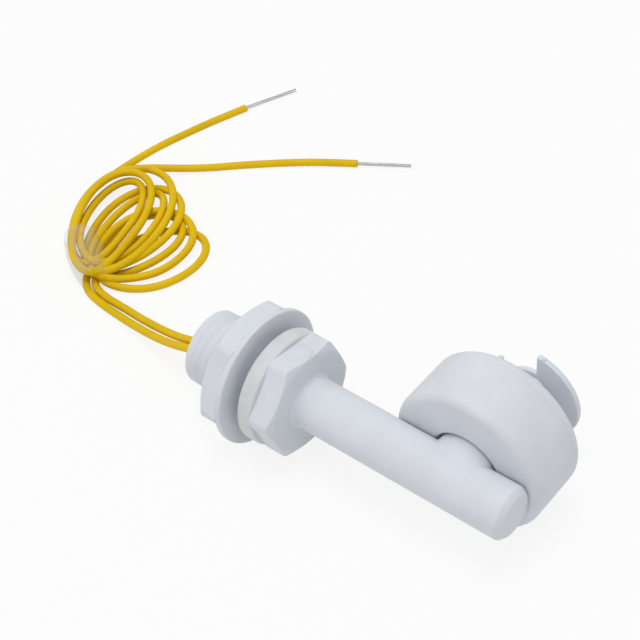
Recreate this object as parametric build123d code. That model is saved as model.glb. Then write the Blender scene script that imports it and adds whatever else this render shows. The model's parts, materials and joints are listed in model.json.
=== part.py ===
from build123d import *
import os
from math import cos, hypot, pi, radians, sin, tan

# Side-mounted float level switch in white polypropylene, in millimetres.
# A hollow body carries an M16 thread, a hexagon and a long stem with a reed switch
# inside. A float shaped like a letter C turns on a hub at the side of the stem and
# carries a magnet past the reed. A flanged lock nut and a gasket clamp the tank wall.
# +X runs along the thread and stem towards the float, +Y along the float's pivot,
# +Z is up. The origin is the centre of the hexagon's sealing face.

os.makedirs("parts", exist_ok=True)

# How far the forms of one solid run into each other, and how far a cut runs past its face
join = 0.2
past = 1.0

# Body: thread, hexagon and stem
thread_d = 15.8
thread_len = 20.8
thread_chamfer = 0.5
hex_af = 22.0
hex_thick = 5.0
hex_turn = -10.0
hex_bevel = 0.9
hex_face_inset = 0.25
stem_d = 10.9
stem_len = 52.5
stem_chamfer = 1.1
root_fillet = 0.7

# Bore for the reed switch, and the wider cup that the resin fills
bore_d = 6.6
bore_end_gap = 0.32
cup_d = 10.4
cup_depth = 14.0
resin_recess = 0.5
resin_reach = 27.0

# Lock nut and gasket
nut_clearance = 0.08
nut_gap = 5.7
nut_af = 26.0
flange_d = 29.2
flange_thick = 1.3
nut_height = 6.1
nut_bevel = 1.5
nut_face_inset = 0.1
nut_turn = 0.0
gasket_d = 24.2
gasket_thick = 3.4
gasket_edge = 0.4
gasket_clearance = 0.1

# Pivot on the side of the stem
pivot_from_end = 14.2
flat_y = 4.3
hub_d = 13.2
hub_end_y = 16.2
hub_root_y = 1.2
hub_round = 3.0
journal_d = 7.0
journal_end_y = 26.0
stop_half = 3.4
stop_sunk = 2.0
flat_margin = 1.0
stop_reach = 10.9
stop_end_y = 15.6

# Retainer: a half disc with a spigot in the journal
retainer_d = 21.6
retainer_thick = 1.4
retainer_cut_x = 0.4
retainer_boss_d = 7.6
spigot_d = 3.0
spigot_len = 7.0
spigot_end_gap = 0.5
retainer_gate_deg = 76.0
spigot_clearance = 0.02

# Float
float_gap = 0.3
float_in_d = 14.3
float_out_d = 32.5
float_depth = 14.5
float_low_deg = -45.0
float_high_deg = 177.0
float_wall = 1.4
float_front_round = 2.2
float_mouth_round = 0.6
cover_thick = 2.5
cover_round = 1.9
web_lap = 0.85
journal_clearance = 0.06
sleeve_d = 10.4
sleeve_gap = 0.3
gate_d = 1.1
gate_rise = 0.2
float_gate_deg = 97.0

# Magnet in its pocket and the plug that closes it
magnet_d = 6.0
magnet_len = 8.0
magnet_at_r = 12.1
pocket_clearance = 0.1
pocket_wall = 0.9
plug_d = 7.8
plug_rise = 1.8

# Reed switch and the wiring in the bore
reed_before_pivot = 0.5
reed_y = 1.1
glass_d = 2.2
glass_len = 14.0
glass_wall = 0.35
glass_seal = 2.2
glass_end_round = 0.84
lead_d = 0.56
blade_height = 1.2
blade_thick = 0.22
blade_lap = 1.6
blade_gap = 0.14
guard_d = 3.3
guard_over = 0.8
guard_clearance = 0.05
crimp_d = 1.3
crimp_len = 3.0
crimp_clearance = 0.02
far_crimp_gap = 0.2
wrap_d = 1.1
wrap_margin = 1.0
shrink_d = 2.1
shrink_over = 3.0
shrink_from_resin = 2.8

# Leads
wire_d = 1.8
wire_clearance = 0.02
exit_z = -2.4
exit_run = 3.0
inner_bend_r = 7.2
strand_d = 0.84
arc_share = 0.45

# What the free leads lie on
floor_z = -flange_d / 2
lie_z = floor_z + wire_d / 2
coil_height = 7.2
coil_round = 1.6

# Where the free leads run, chosen by hand
lead_a_route = [
    (-24.0, 1.1, -2.4), (-27.6, 1.1, -4.0), (-31.6, 1.4, -6.5), (-36.6, 2.6, -9.0),
    (-43.4, 4.2, -11.6), (-51.6, 5.8, lie_z), (-59.6, 7.2, lie_z), (-66.0, 9.0, lie_z)]
lead_b_route = [
    (-24.0, -1.1, -2.4), (-27.2, -1.2, -4.2), (-30.8, -1.1, -6.9), (-35.4, -0.3, -9.5),
    (-41.8, 0.9, -12.0), (-49.4, 2.0, lie_z), (-57.0, 3.3, lie_z), (-64.6, 6.4, lie_z)]
tail_a_route = [
    (-87.6, 38.0, lie_z), (-87.4, 45.0, lie_z), (-86.0, 52.2, lie_z), (-83.8, 59.4, lie_z),
    (-81.4, 66.8, lie_z), (-78.1, 75.1, lie_z)]
tail_b_route = [
    (-80.4, 44.2, lie_z), (-72.2, 50.8, lie_z), (-64.2, 57.9, lie_z), (-56.3, 64.2, lie_z),
    (-49.2, 69.3, lie_z), (-41.6, 73.7, lie_z)]
strand_a_end = (-72.2, 87.7, lie_z)
strand_b_end = (-30.5, 80.2, lie_z)

# Outline of the loose coil seen from above, and the film band that ties it
coil_outline = [
    (-54.5, 7.6), (-60.5, 2.6), (-69.5, 3.4), (-78.5, 9.0), (-86.5, 19.0), (-90.2, 30.0),
    (-89.6, 40.0), (-84.5, 45.2), (-75.5, 46.4), (-65.0, 42.2), (-53.5, 37.4), (-45.6, 28.4),
    (-46.2, 17.0)]
band_centre = (-75.4, 10.2)
band_deg = 140.0
band_width = 8.0
band_depth = 12.0

# Values worked out from the sizes above
pivot_x = stem_len - pivot_from_end
reed_x = pivot_x - reed_before_pivot
cup_end_x = cup_depth - thread_len
resin_face_x = resin_recess - thread_len
resin_end_x = resin_reach - thread_len
nut_face_x = -nut_gap
nut_back_x = -nut_gap - nut_height
float_front_y = flat_y + float_gap
float_back_y = float_front_y + float_depth
cover_front_y = float_back_y - cover_thick
float_mid_r = (float_in_d + float_out_d) / 4
float_half = (float_out_d - float_in_d) / 4
float_axis_deg = (float_low_deg + float_high_deg) / 2
flat_start_x = pivot_x - float_out_d / 2 - flat_margin
retainer_y = journal_end_y
pocket_r = magnet_d / 2 + pocket_clearance
magnet_x = pivot_x + magnet_at_r * cos(radians(float_axis_deg))
magnet_z = magnet_at_r * sin(radians(float_axis_deg))
magnet_y = float_front_y + float_wall + pocket_clearance
glass_lo = reed_x - glass_len / 2
glass_hi = reed_x + glass_len / 2
crimp_x = resin_end_x + shrink_from_resin + shrink_over
crimp_mid = crimp_x + crimp_len / 2
guard_len = glass_len + 2 * guard_over
far_crimp_x = reed_x + guard_len / 2 + far_crimp_gap
bore_end_x = far_crimp_x + crimp_len + reed_y + lead_d / 2 + bore_end_gap


def along_x(radius, x0, x1, y=0.0, z=0.0):
    """A cylinder along X between two stations."""
    return extrude(Plane(origin=(x0, y, z), z_dir=(1, 0, 0)) * Circle(radius), amount=x1 - x0)


def along_y(radius, y0, y1, x=pivot_x, z=0.0):
    """A cylinder along Y between two stations, on the pivot unless told otherwise."""
    return extrude(Plane(origin=(x, y0, z), z_dir=(0, 1, 0)) * Circle(radius), amount=y1 - y0)


def turned(profile):
    """A solid turned about the X axis from half-section points (x, r)."""
    half = make_face(Polyline(*[(x, r, 0) for x, r in profile], close=True))
    return revolve(half, Axis.X)


def hex_prism(across, x0, x1, turn):
    """A hexagon along X whose flats face +Z when the turn is zero."""
    corner = across / 2 / cos(pi / 6)
    angles = [radians(60 * k + turn) for k in range(6)]
    points = [(x0, corner * cos(a), corner * sin(a)) for a in angles]
    return extrude(make_face(Polyline(*points, close=True)), amount=x1 - x0, dir=(1, 0, 0))


def c_face(inset, y):
    """The float's C outline drawn in by an inset, on the plane at y."""
    outer, inner = float_mid_r + float_half - inset, float_mid_r - float_half + inset
    low, high = radians(float_low_deg), radians(float_high_deg)

    def at(radius, angle):
        return (pivot_x + radius * cos(angle), y, radius * sin(angle))

    end_turn = (float_half - inset) / float_mid_r
    mid = (low + high) / 2
    edges = [
        ThreePointArc(at(outer, low), at(outer, mid), at(outer, high)),
        ThreePointArc(at(outer, high), at(float_mid_r, high + end_turn), at(inner, high)),
        ThreePointArc(at(inner, high), at(inner, mid), at(inner, low)),
        ThreePointArc(at(inner, low), at(float_mid_r, low - end_turn), at(outer, low))]
    return make_face(edges)


def c_block(inset, y0, y1):
    """The C outline given a depth along the pivot."""
    return extrude(c_face(inset, y0), amount=y1 - y0, dir=(0, 1, 0))


def rim_edges(solid, y, radius):
    """Circular edges at y about the pivot that have the given radius."""
    found = []
    for edge in solid.edges():
        middle = edge @ 0.5
        on_rim = abs(hypot(middle.X - pivot_x, middle.Z) - radius) < 0.05
        if on_rim and abs(middle.Y - y) < 0.01 and abs((edge @ 0).Y - y) < 0.01:
            found.append(edge)
    return found


def face_edges(solid, y):
    """Every edge that lies in the plane at y."""
    return [e for e in solid.edges() if all(abs((e @ t).Y - y) < 0.01 for t in (0, 0.5, 1))]


def make_body():
    """Thread, hexagon, stem, hub and journal, moulded as one piece."""
    thread_r, stem_r = thread_d / 2, stem_d / 2
    thread = turned([
        (-thread_len, 0), (-thread_len, thread_r - thread_chamfer),
        (thread_chamfer - thread_len, thread_r), (join, thread_r), (join, 0)])
    corner_r = hex_af / 2 / cos(pi / 6)
    cone = turned([
        (0, 0), (0, corner_r), (hex_thick - hex_bevel, corner_r),
        (hex_thick, hex_af / 2 - hex_face_inset), (hex_thick, 0)])
    head = hex_prism(hex_af, 0, hex_thick, hex_turn) & cone
    stem = turned([
        (hex_thick - join, 0), (hex_thick - join, stem_r + root_fillet),
        (hex_thick, stem_r + root_fillet), (hex_thick + root_fillet, stem_r),
        (stem_len - stem_chamfer, stem_r), (stem_len, stem_r - stem_chamfer), (stem_len, 0)])
    flat_end_x = stem_len + past
    side = Pos((flat_start_x + flat_end_x) / 2, flat_y + stem_r, 0) * Box(
        flat_end_x - flat_start_x, 2 * stem_r, 2 * stem_d)
    hub = along_y(hub_d / 2, hub_root_y, hub_end_y)
    hub = fillet(rim_edges(hub, hub_root_y, hub_d / 2), hub_round)
    journal = along_y(journal_d / 2, hub_end_y - join, journal_end_y)
    stop_top, stop_root = hub_d / 2 - stop_sunk, flat_y - join
    stop = Pos(pivot_x, (stop_root + stop_end_y) / 2, -(stop_top + stop_reach) / 2) * Box(
        2 * stop_half, stop_end_y - stop_root, stop_reach - stop_top)
    body = thread + head + (stem - side) + hub + journal + stop
    body -= along_x(bore_d / 2, -thread_len - past, bore_end_x)
    body -= along_x(cup_d / 2, -thread_len - past, cup_end_x)
    body -= along_y(spigot_d / 2, journal_end_y - spigot_len - spigot_end_gap, journal_end_y + past)
    return body


def make_nut():
    """Hexagon nut with a round flange that faces the gasket."""
    bore_r = thread_d / 2 + nut_clearance
    corner_r = nut_af / 2 / cos(pi / 6)
    flange_r = flange_d / 2
    flange_x = nut_face_x - flange_thick
    edge = flange_thick / 3
    envelope = turned([
        (nut_back_x, 0), (nut_back_x, nut_af / 2 - nut_face_inset),
        (nut_back_x + nut_bevel, corner_r), (flange_x, corner_r), (flange_x, 0)])
    grip = hex_prism(nut_af, nut_back_x, flange_x, nut_turn) & envelope
    flange = turned([
        (flange_x - join, 0), (flange_x - join, flange_r - edge), (flange_x + edge, flange_r),
        (nut_face_x - edge, flange_r), (nut_face_x, flange_r - edge), (nut_face_x, 0)])
    return grip + flange - along_x(bore_r, nut_back_x - past, nut_face_x + past)


def make_gasket():
    """Square-section silicone ring under the hexagon."""
    outer, inner = gasket_d / 2, thread_d / 2 + gasket_clearance
    return turned([
        (-gasket_thick, inner), (-gasket_thick, outer - gasket_edge),
        (gasket_edge - gasket_thick, outer), (-gasket_edge, outer), (0, outer - gasket_edge),
        (0, inner)])


def mouth_ring(y0, y1):
    """Inner part of the C with a crisp, slightly bevelled mouth, without the round ends."""
    inner = float_in_d / 2
    section = [(inner + float_mouth_round, y0), (float_mid_r, y0), (float_mid_r, y1), (inner, y1),
               (inner, y0 + float_mouth_round)]
    low = radians(float_low_deg)
    points = [(pivot_x + r * cos(low), y, r * sin(low)) for r, y in section]
    pivot = Axis((pivot_x, 0, 0), (0, -1, 0))
    return revolve(make_face(Polyline(*points, close=True)), pivot, float_high_deg - float_low_deg)


def make_float_shell():
    """C-shaped shell, open at the back, with a tube that holds the magnet."""
    shell = c_block(0, float_front_y, cover_front_y)
    shell = fillet(rim_edges(shell, float_front_y, float_out_d / 2), float_front_round)
    shell += mouth_ring(float_front_y, cover_front_y)
    floor_y = float_front_y + float_wall
    shell -= c_block(float_wall, floor_y, cover_front_y + past)
    tube = along_y(pocket_r + pocket_wall, floor_y - join, cover_front_y, magnet_x, magnet_z)
    shell += tube & c_block(float_wall / 2, float_front_y, cover_front_y)
    return shell - along_y(pocket_r, floor_y, cover_front_y + past, magnet_x, magnet_z)


def make_float_cover():
    """Back of the float: the C plate, the web round the journal and its sleeve."""
    plate = c_block(0, cover_front_y, float_back_y)
    plate = fillet(rim_edges(plate, float_back_y, float_out_d / 2), cover_round)
    plate += along_y(float_in_d / 2 + web_lap, cover_front_y, float_back_y)
    plate += along_y(sleeve_d / 2, float_back_y - join, retainer_y - sleeve_gap)
    gate_at = radians(float_gate_deg)
    gate_r = float_out_d / 2 - cover_round / 2
    gate_x, gate_z = pivot_x + gate_r * cos(gate_at), gate_r * sin(gate_at)
    plate += along_y(gate_d / 2, float_back_y - cover_round, float_back_y + gate_rise, gate_x, gate_z)
    plate -= along_y(journal_d / 2 + journal_clearance, cover_front_y - past, retainer_y)
    return plate - along_y(pocket_r, cover_front_y - past, float_back_y + past, magnet_x, magnet_z)


def make_retainer():
    """Half disc that keeps the float on the hub, with its spigot."""
    end_y = retainer_y + retainer_thick
    disc = along_y(retainer_d / 2, retainer_y, end_y)
    gate_at = radians(retainer_gate_deg)
    gate_x, gate_z = pivot_x + retainer_d / 2 * cos(gate_at), retainer_d / 2 * sin(gate_at)
    disc += along_y(gate_d / 2, retainer_y + gate_rise, end_y - gate_rise, gate_x, gate_z)
    keep = Pos(pivot_x + retainer_cut_x + retainer_d / 2, retainer_y, 0) * Box(
        retainer_d, 4 * retainer_thick, 2 * retainer_d)
    disc = (disc & keep) + along_y(retainer_boss_d / 2, retainer_y, end_y)
    spigot_r = spigot_d / 2 - spigot_clearance
    return disc + along_y(spigot_r, retainer_y - spigot_len, retainer_y + join)


def make_magnet_plug():
    """Cap that closes the magnet's pocket and holds the magnet at its far end."""
    cap = along_y(plug_d / 2, float_back_y, float_back_y + plug_rise, magnet_x, magnet_z)
    cap = fillet(face_edges(cap, float_back_y + plug_rise), plug_rise / 2)
    pin_r = pocket_r - pocket_clearance / 2
    return cap + along_y(pin_r, magnet_y + magnet_len, float_back_y + join, magnet_x, magnet_z)


def make_reed_glass():
    """Sealed glass tube with rounded ends, hollow round the contacts."""
    tube = along_x(glass_d / 2, glass_lo, glass_hi, reed_y)
    tube = fillet(tube.edges().filter_by(GeomType.CIRCLE), glass_end_round)
    room_r = glass_d / 2 - glass_wall
    room = along_x(room_r, glass_lo + glass_seal, glass_hi - glass_seal, reed_y)
    return tube - room - along_x(lead_d / 2, glass_lo - past, glass_hi + past, reed_y)


def make_reed_lead(side):
    """Round lead that turns into a flat contact blade inside the glass."""
    end_x = reed_x + side * glass_len / 2
    far_end_x = far_crimp_x + crimp_len / 2 - crimp_clearance
    outer_x = crimp_mid + crimp_clearance if side < 0 else far_end_x
    root_x = end_x - side * glass_seal
    tip_x = reed_x - side * blade_lap / 2
    lift = side * (blade_gap + blade_thick) / 2
    inner_x = root_x - side * lead_d
    lead = along_x(lead_d / 2, min(outer_x, inner_x), max(outer_x, inner_x), reed_y)
    blade_mid = Pos((tip_x + root_x) / 2, reed_y + lift, 0)
    return lead + blade_mid * Box(abs(root_x - tip_x), blade_thick, blade_height)


def sleeve(outer_d, inner_d, x0, x1, y):
    """A tube along X in the bore."""
    return along_x(outer_d / 2, x0, x1, y) - along_x(inner_d / 2, x0 - past, x1 + past, y)


def inner_path(y):
    """Line of a lead from the resin's face, up to the bore's axis and on to its crimp."""
    points = [(resin_face_x, y, exit_z), (resin_face_x + exit_run, y, exit_z),
              (cup_end_x - exit_run / 2, y, 0), (crimp_x - crimp_clearance, y, 0)]
    return FilletPolyline(*points, radius=inner_bend_r)


def inner_plane(y):
    """Plane of the lead's section where it leaves the resin."""
    return Plane(origin=(resin_face_x, y, exit_z), z_dir=(1, 0, 0))


def make_inner_wire(y):
    """Insulated lead through the resin, with its bare core in the crimp."""
    jacket = sweep(inner_plane(y) * Circle(wire_d / 2), path=inner_path(y))
    return jacket + along_x(lead_d / 2, crimp_x - past, crimp_mid - crimp_clearance, y)


def make_return_lead():
    """Solid wire that turns back at the far end and runs along the bore."""
    x = far_crimp_x + crimp_len / 2 + crimp_clearance
    turn_x = far_crimp_x + crimp_len
    route = Line((x, reed_y, 0), (turn_x, reed_y, 0))
    route += ThreePointArc((turn_x, reed_y, 0), (turn_x + reed_y, 0, 0), (turn_x, -reed_y, 0))
    route += Line((turn_x, -reed_y, 0), (crimp_mid + crimp_clearance, -reed_y, 0))
    return sweep(Plane(origin=(x, reed_y, 0), z_dir=(1, 0, 0)) * Circle(lead_d / 2), path=route)


def make_resin():
    """Resin that seals the two leads into the cup and the start of the bore."""
    fill = along_x(cup_d / 2, resin_face_x, cup_end_x)
    fill += along_x(bore_d / 2, cup_end_x - join, resin_end_x)
    for y in (reed_y, -reed_y):
        fill -= sweep(inner_plane(y) * Circle(wire_d / 2 + wire_clearance), path=inner_path(y))
    return fill


def corner_radii(points):
    """Radius for each inner point: a share of its shorter run over the tangent of half its turn."""
    radii = []
    for a, b, c in zip(points, points[1:], points[2:]):
        run_in, run_out = Vector(*b) - Vector(*a), Vector(*c) - Vector(*b)
        half_turn = radians(run_in.get_angle(run_out)) / 2
        radii.append(arc_share * min(run_in.length, run_out.length) / tan(half_turn))
    return radii


def make_tube(name, points):
    """A lead of round section along straight runs joined by arcs, with its volume tested."""
    radii = corner_radii(points)
    path = FilletPolyline(*points, radius=radii)
    start = Vector(*points[1]) - Vector(*points[0])
    tube = sweep(Plane(origin=points[0], z_dir=start) * Circle(wire_d / 2), path=path)
    ratio = tube.volume / (pi * (wire_d / 2) ** 2 * path.length)
    print(f"{name}: {path.length:.1f} mm, volume ratio {ratio:.3f}, smallest radius {min(radii):.1f}")
    return tube


def coil_block():
    """Closed solid of the loose coil's outer shape, lying on the floor."""
    outline = [(x, y, floor_z) for x, y in coil_outline]
    base = make_face(Spline(*outline, periodic=True))
    block = extrude(base, amount=coil_height, dir=(0, 0, 1))
    top = [e for e in block.edges() if abs((e @ 0.5).Z - floor_z - coil_height) < 0.01]
    return fillet(top, coil_round)


def band_box():
    """Upright slab across the tied side of the coil."""
    x, y = band_centre
    place = Pos(x, y, floor_z + coil_height / 2) * Rot(0, 0, band_deg)
    return place * Box(band_width, band_depth, 2 * coil_height)


def make_strands(start, end):
    """Stripped and twisted end of a lead, straight."""
    run = Vector(*end) - Vector(*start)
    return extrude(Plane(origin=start, z_dir=run) * Circle(strand_d / 2), amount=run.length)


parts = {}
parts["stem_body"] = make_body()
parts["lock_nut"] = make_nut()
parts["sealing_gasket"] = make_gasket()
parts["float_shell"] = make_float_shell()
parts["float_back_cover"] = make_float_cover()
parts["float_magnet"] = along_y(magnet_d / 2, magnet_y, magnet_y + magnet_len, magnet_x, magnet_z)
parts["magnet_plug"] = make_magnet_plug()
parts["pivot_retainer"] = make_retainer()

parts["reed_glass"] = make_reed_glass()
parts["reed_lead_near"] = make_reed_lead(-1)
parts["reed_lead_far"] = make_reed_lead(1)
guard_bore = glass_d + 2 * guard_clearance
guard_x0, guard_x1 = reed_x - guard_len / 2, reed_x + guard_len / 2
parts["reed_guard"] = sleeve(guard_d, guard_bore, guard_x0, guard_x1, reed_y)
crimp_bore = lead_d + 2 * crimp_clearance
parts["crimp_near"] = sleeve(crimp_d, crimp_bore, crimp_x, crimp_x + crimp_len, reed_y)
parts["crimp_return"] = sleeve(crimp_d, crimp_bore, crimp_x, crimp_x + crimp_len, -reed_y)
parts["crimp_far"] = sleeve(crimp_d, crimp_bore, far_crimp_x, far_crimp_x + crimp_len, reed_y)
parts["return_lead"] = make_return_lead()
wrap_x = crimp_x + crimp_len + wrap_margin
parts["return_wrap"] = sleeve(wrap_d, crimp_bore, wrap_x, far_crimp_x, -reed_y)
shrink_bore = wire_d + 2 * wire_clearance
shrink_x0, shrink_x1 = crimp_x - shrink_over, crimp_x + crimp_len
parts["shrink_near"] = sleeve(shrink_d, shrink_bore, shrink_x0, shrink_x1, reed_y)
parts["shrink_return"] = sleeve(shrink_d, shrink_bore, shrink_x0, shrink_x1, -reed_y)
parts["lead_a_inner"] = make_inner_wire(reed_y)
parts["lead_b_inner"] = make_inner_wire(-reed_y)
parts["potting_resin"] = make_resin()

exit_a = (resin_face_x, reed_y, exit_z)
exit_b = (resin_face_x, -reed_y, exit_z)
coil = coil_block()
parts["wire_a_lead"] = make_tube("wire_a_lead", [exit_a] + lead_a_route) - coil
parts["wire_b_lead"] = make_tube("wire_b_lead", [exit_b] + lead_b_route) - coil
parts["wire_a_tail"] = make_tube("wire_a_tail", tail_a_route) - coil
parts["wire_b_tail"] = make_tube("wire_b_tail", tail_b_route) - coil
parts["strands_a"] = make_strands(tail_a_route[-1], strand_a_end)
parts["strands_b"] = make_strands(tail_b_route[-1], strand_b_end)
parts["wire_coil"] = coil - band_box()
parts["coil_band"] = coil & band_box()

for name, solid in parts.items():
    export_step(solid, f"parts/{name}.step")
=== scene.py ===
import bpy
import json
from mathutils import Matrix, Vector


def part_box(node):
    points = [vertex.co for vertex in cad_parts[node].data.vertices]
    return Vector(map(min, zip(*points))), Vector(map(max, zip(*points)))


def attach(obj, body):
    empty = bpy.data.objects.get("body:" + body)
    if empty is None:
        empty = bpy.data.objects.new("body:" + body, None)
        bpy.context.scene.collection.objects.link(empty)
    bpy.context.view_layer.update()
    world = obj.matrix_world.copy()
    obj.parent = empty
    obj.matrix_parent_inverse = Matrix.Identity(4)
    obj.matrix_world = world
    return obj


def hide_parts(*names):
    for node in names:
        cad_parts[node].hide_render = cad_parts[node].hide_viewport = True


bl_info = {
    "name": "Float Level Switch",
    "version": (1, 0, 0),
    "blender": (4, 5, 0),
    "location": "View3D > Sidebar > Float Switch",
    "description": "Builds a side-mounted float level switch with its leads, and a stage to show it on",
    "category": "Add Mesh",
}

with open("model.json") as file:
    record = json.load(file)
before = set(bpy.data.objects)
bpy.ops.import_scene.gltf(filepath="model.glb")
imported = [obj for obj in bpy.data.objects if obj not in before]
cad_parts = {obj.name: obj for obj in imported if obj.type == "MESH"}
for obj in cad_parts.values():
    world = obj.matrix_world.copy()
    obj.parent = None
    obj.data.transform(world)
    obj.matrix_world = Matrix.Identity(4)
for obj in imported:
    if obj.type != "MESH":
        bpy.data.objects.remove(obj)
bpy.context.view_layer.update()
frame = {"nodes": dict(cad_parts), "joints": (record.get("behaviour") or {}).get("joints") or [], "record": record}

import json
from math import cos, hypot, pi, radians, sin, sqrt

import bmesh
import bpy
from bpy.props import FloatProperty, FloatVectorProperty, IntProperty, PointerProperty
from bpy.types import Operator, Panel, PropertyGroup
from mathutils import Matrix, Vector

MM = 0.001

# Places taken from the frame, in millimetres
BODY_LOW, BODY_HIGH = (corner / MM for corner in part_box("stem_body"))
NUT_LOW, NUT_HIGH = (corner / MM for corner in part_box("lock_nut"))
GASKET_LOW, GASKET_HIGH = (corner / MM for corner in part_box("sealing_gasket"))
SHELL_LOW, SHELL_HIGH = (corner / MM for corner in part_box("float_shell"))
COVER_LOW, COVER_HIGH = (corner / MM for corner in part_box("float_back_cover"))
PLUG_LOW, PLUG_HIGH = (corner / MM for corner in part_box("magnet_plug"))
DISC_LOW, DISC_HIGH = (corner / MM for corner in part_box("pivot_retainer"))
RESIN_LOW, RESIN_HIGH = (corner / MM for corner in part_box("potting_resin"))
PIVOT_X = next(j for j in frame["joints"] if j["name"] == "float_pivot")["pos_m"][0] / MM
PLUG_X, PLUG_Z = (PLUG_LOW.x + PLUG_HIGH.x) / 2, (PLUG_LOW.z + PLUG_HIGH.z) / 2
FLOOR_Z = NUT_LOW.z

# Thread, hexagon and stem, in millimetres
THREAD_R = 8.05
CUP_R = 5.2
RIM_CHAMFER = 0.3
RIDGE_START = 1.9
RIDGE_SUNK = 0.3
HEX_HALF = 11.0
HEX_THICK = 5.0
HEX_TURN = -10.0
MARK_R = 2.1
MARK_RISE = 0.18
STEM_R = 5.45
STEM_CHAMFER = 1.1
ROOT_FILLET = 0.7
FLAT_Y = 4.3
FLAT_START_X = 21.05
HUB_R = 6.6
HUB_ROOT_R = 5.35
HUB_FULL_Y = 5.4
HUB_FROM_Y = 3.6
HUB_BLEND = 2.6
HUB_MERGED_Y = 6.3
HUB_BESIDE = 0.6
HUB_END_Y = 16.2
JOURNAL_R = 3.5
JOURNAL_END_Y = 26.3
STOP_HALF = 3.4
STOP_LOW_Z = -10.9
STOP_END_Y = 15.6

# Lock nut
NUT_HALF = 13.0
NUT_BORE_R = 7.98
FLANGE_THICK = 1.3

# Float, its cover and the retainer
FLOAT_MID_R = 11.7
FLOAT_HALF = 4.55
FLOAT_LOW_DEG = -45.0
FLOAT_HIGH_DEG = 177.0
FLOAT_ROUND = 1.8
MOUTH_ROUND = 0.6
COVER_ROUND = 1.9
WEB_R = 8.0
SLEEVE_R = 5.4
SLEEVE_END_Y = 24.5
BORE_R = 3.56
PLUG_R = 3.0
FLOAT_GATE_DEG = 97.0
DISC_R = 10.8
DISC_CUT_X = 1.3
DISC_BOSS_R = 3.8
DISC_THICK = 1.2
DISC_COLLAR_R = 5.4
DISC_GATE_DEG = 76.0
GATE_R = 0.55
DISC_GATE_R = 0.35

# Routes of the two leads outside the coil, in millimetres, listed point by point
EXIT_A = (RESIN_LOW.x, 1.1, -2.4)
EXIT_B = (RESIN_LOW.x, -1.1, -2.4)
LIE_Z = FLOOR_Z + 0.9
LEAD_A = [
    (-24.0, 1.1, -2.5), (-28.4, 1.6, -4.6), (-33.6, 2.5, -7.4), (-39.8, 3.6, -9.9),
    (-46.9, 4.8, -12.1), (-54.1, 5.9, -13.5), (-60.4, 6.1, LIE_Z), (-64.8, 7.2, LIE_Z),
    (-67.0, 10.4, LIE_Z)]
LEAD_B = [
    (-24.0, -1.1, -2.5), (-28.4, -0.5, -4.9), (-33.9, 0.5, -8.0), (-40.4, 1.5, -10.5),
    (-47.5, 2.6, -12.4), (-54.4, 3.6, -13.6), (-60.6, 4.2, LIE_Z), (-65.0, 5.2, LIE_Z),
    (-68.2, 7.9, LIE_Z)]
TAIL_A = [
    (-87.4, 45.0, LIE_Z), (-86.0, 52.2, LIE_Z), (-83.8, 59.4, LIE_Z), (-81.4, 66.8, LIE_Z),
    (-78.1, 75.1, LIE_Z)]
TAIL_B = [
    (-72.2, 50.8, LIE_Z), (-64.2, 57.9, LIE_Z), (-56.3, 64.2, LIE_Z), (-49.2, 69.3, LIE_Z),
    (-41.6, 73.7, LIE_Z)]
STRANDS_A_END = (-72.2, 87.7, LIE_Z)
STRANDS_B_END = (-30.5, 80.2, LIE_Z)

# Film round the tie: plan x and y of its middle and its half width, and its half height
FILM_PATH = (
    (-63.0, 6.2, 2.7), (-64.8, 7.1, 3.1), (-67.0, 8.6, 3.6), (-69.6, 10.3, 4.0), (-72.2, 12.0, 4.2),
    (-74.4, 13.6, 4.1), (-75.8, 14.9, 3.9))
FILM_TALL = 4.0

# Loose turns of the coil, as they would lie at SEEN_Z: centre x and y, long and short half axes, the
# direction of the long axis in degrees, and how much the turn narrows towards the tie
SEEN_Z = -11.0
TURNS = {
    "inner ring": (-75.7, 24.6, 12.5, 5.7, 109.0, 0.05),
    "ring": (-75.1, 23.3, 16.9, 7.7, 115.0, 0.23),
    "outer": (-73.2, 24.9, 18.1, 10.7, 114.0, 0.16),
    "middle": (-68.4, 23.5, 15.3, 8.6, 99.0, 0.20),
    "inner middle": (-69.1, 23.0, 13.7, 5.3, 101.0, 0.0),
    "low": (-62.2, 20.8, 13.0, 9.6, 89.0, 0.14),
    "inner low": (-63.5, 19.8, 12.7, 7.0, 84.0, 0.24),
    "right": (-56.6, 19.4, 12.2, 8.4, 67.0, 0.0),
}
TURNS_OF_LEAD = {
    "a": ("right", "low", "inner middle", "inner ring", "outer"),
    "b": ("inner low", "middle", "ring", "outer", "outer"),
}
SHARE_OF_LAST = {"a": 0.40, "b": 0.50}
# Lead and turn in the order in which they lie, from the floor up
LAYERS = (("a", 0), ("b", 0), ("a", 1), ("b", 1), ("a", 2), ("b", 3), ("a", 4), ("b", 4), ("b", 2), ("a", 3))
POINTS_PER_TURN = 15
# A turn's last points lean towards the next turn, and its first points towards the one before
LEAVE = (0.12, 0.30)
ARRIVE = (0.50, 0.22)
FIRST_POINT = 2
# Plan shift for each millimetre of rise that keeps a turn's place in the picture
RISE_SHIFT = Vector((0.93, -0.71))
# Soft turns sink into each other's gaps: distance of crossing centre lines over the diameter
SETTLED = 0.7
SETTLE_ROUNDS = 4


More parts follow.
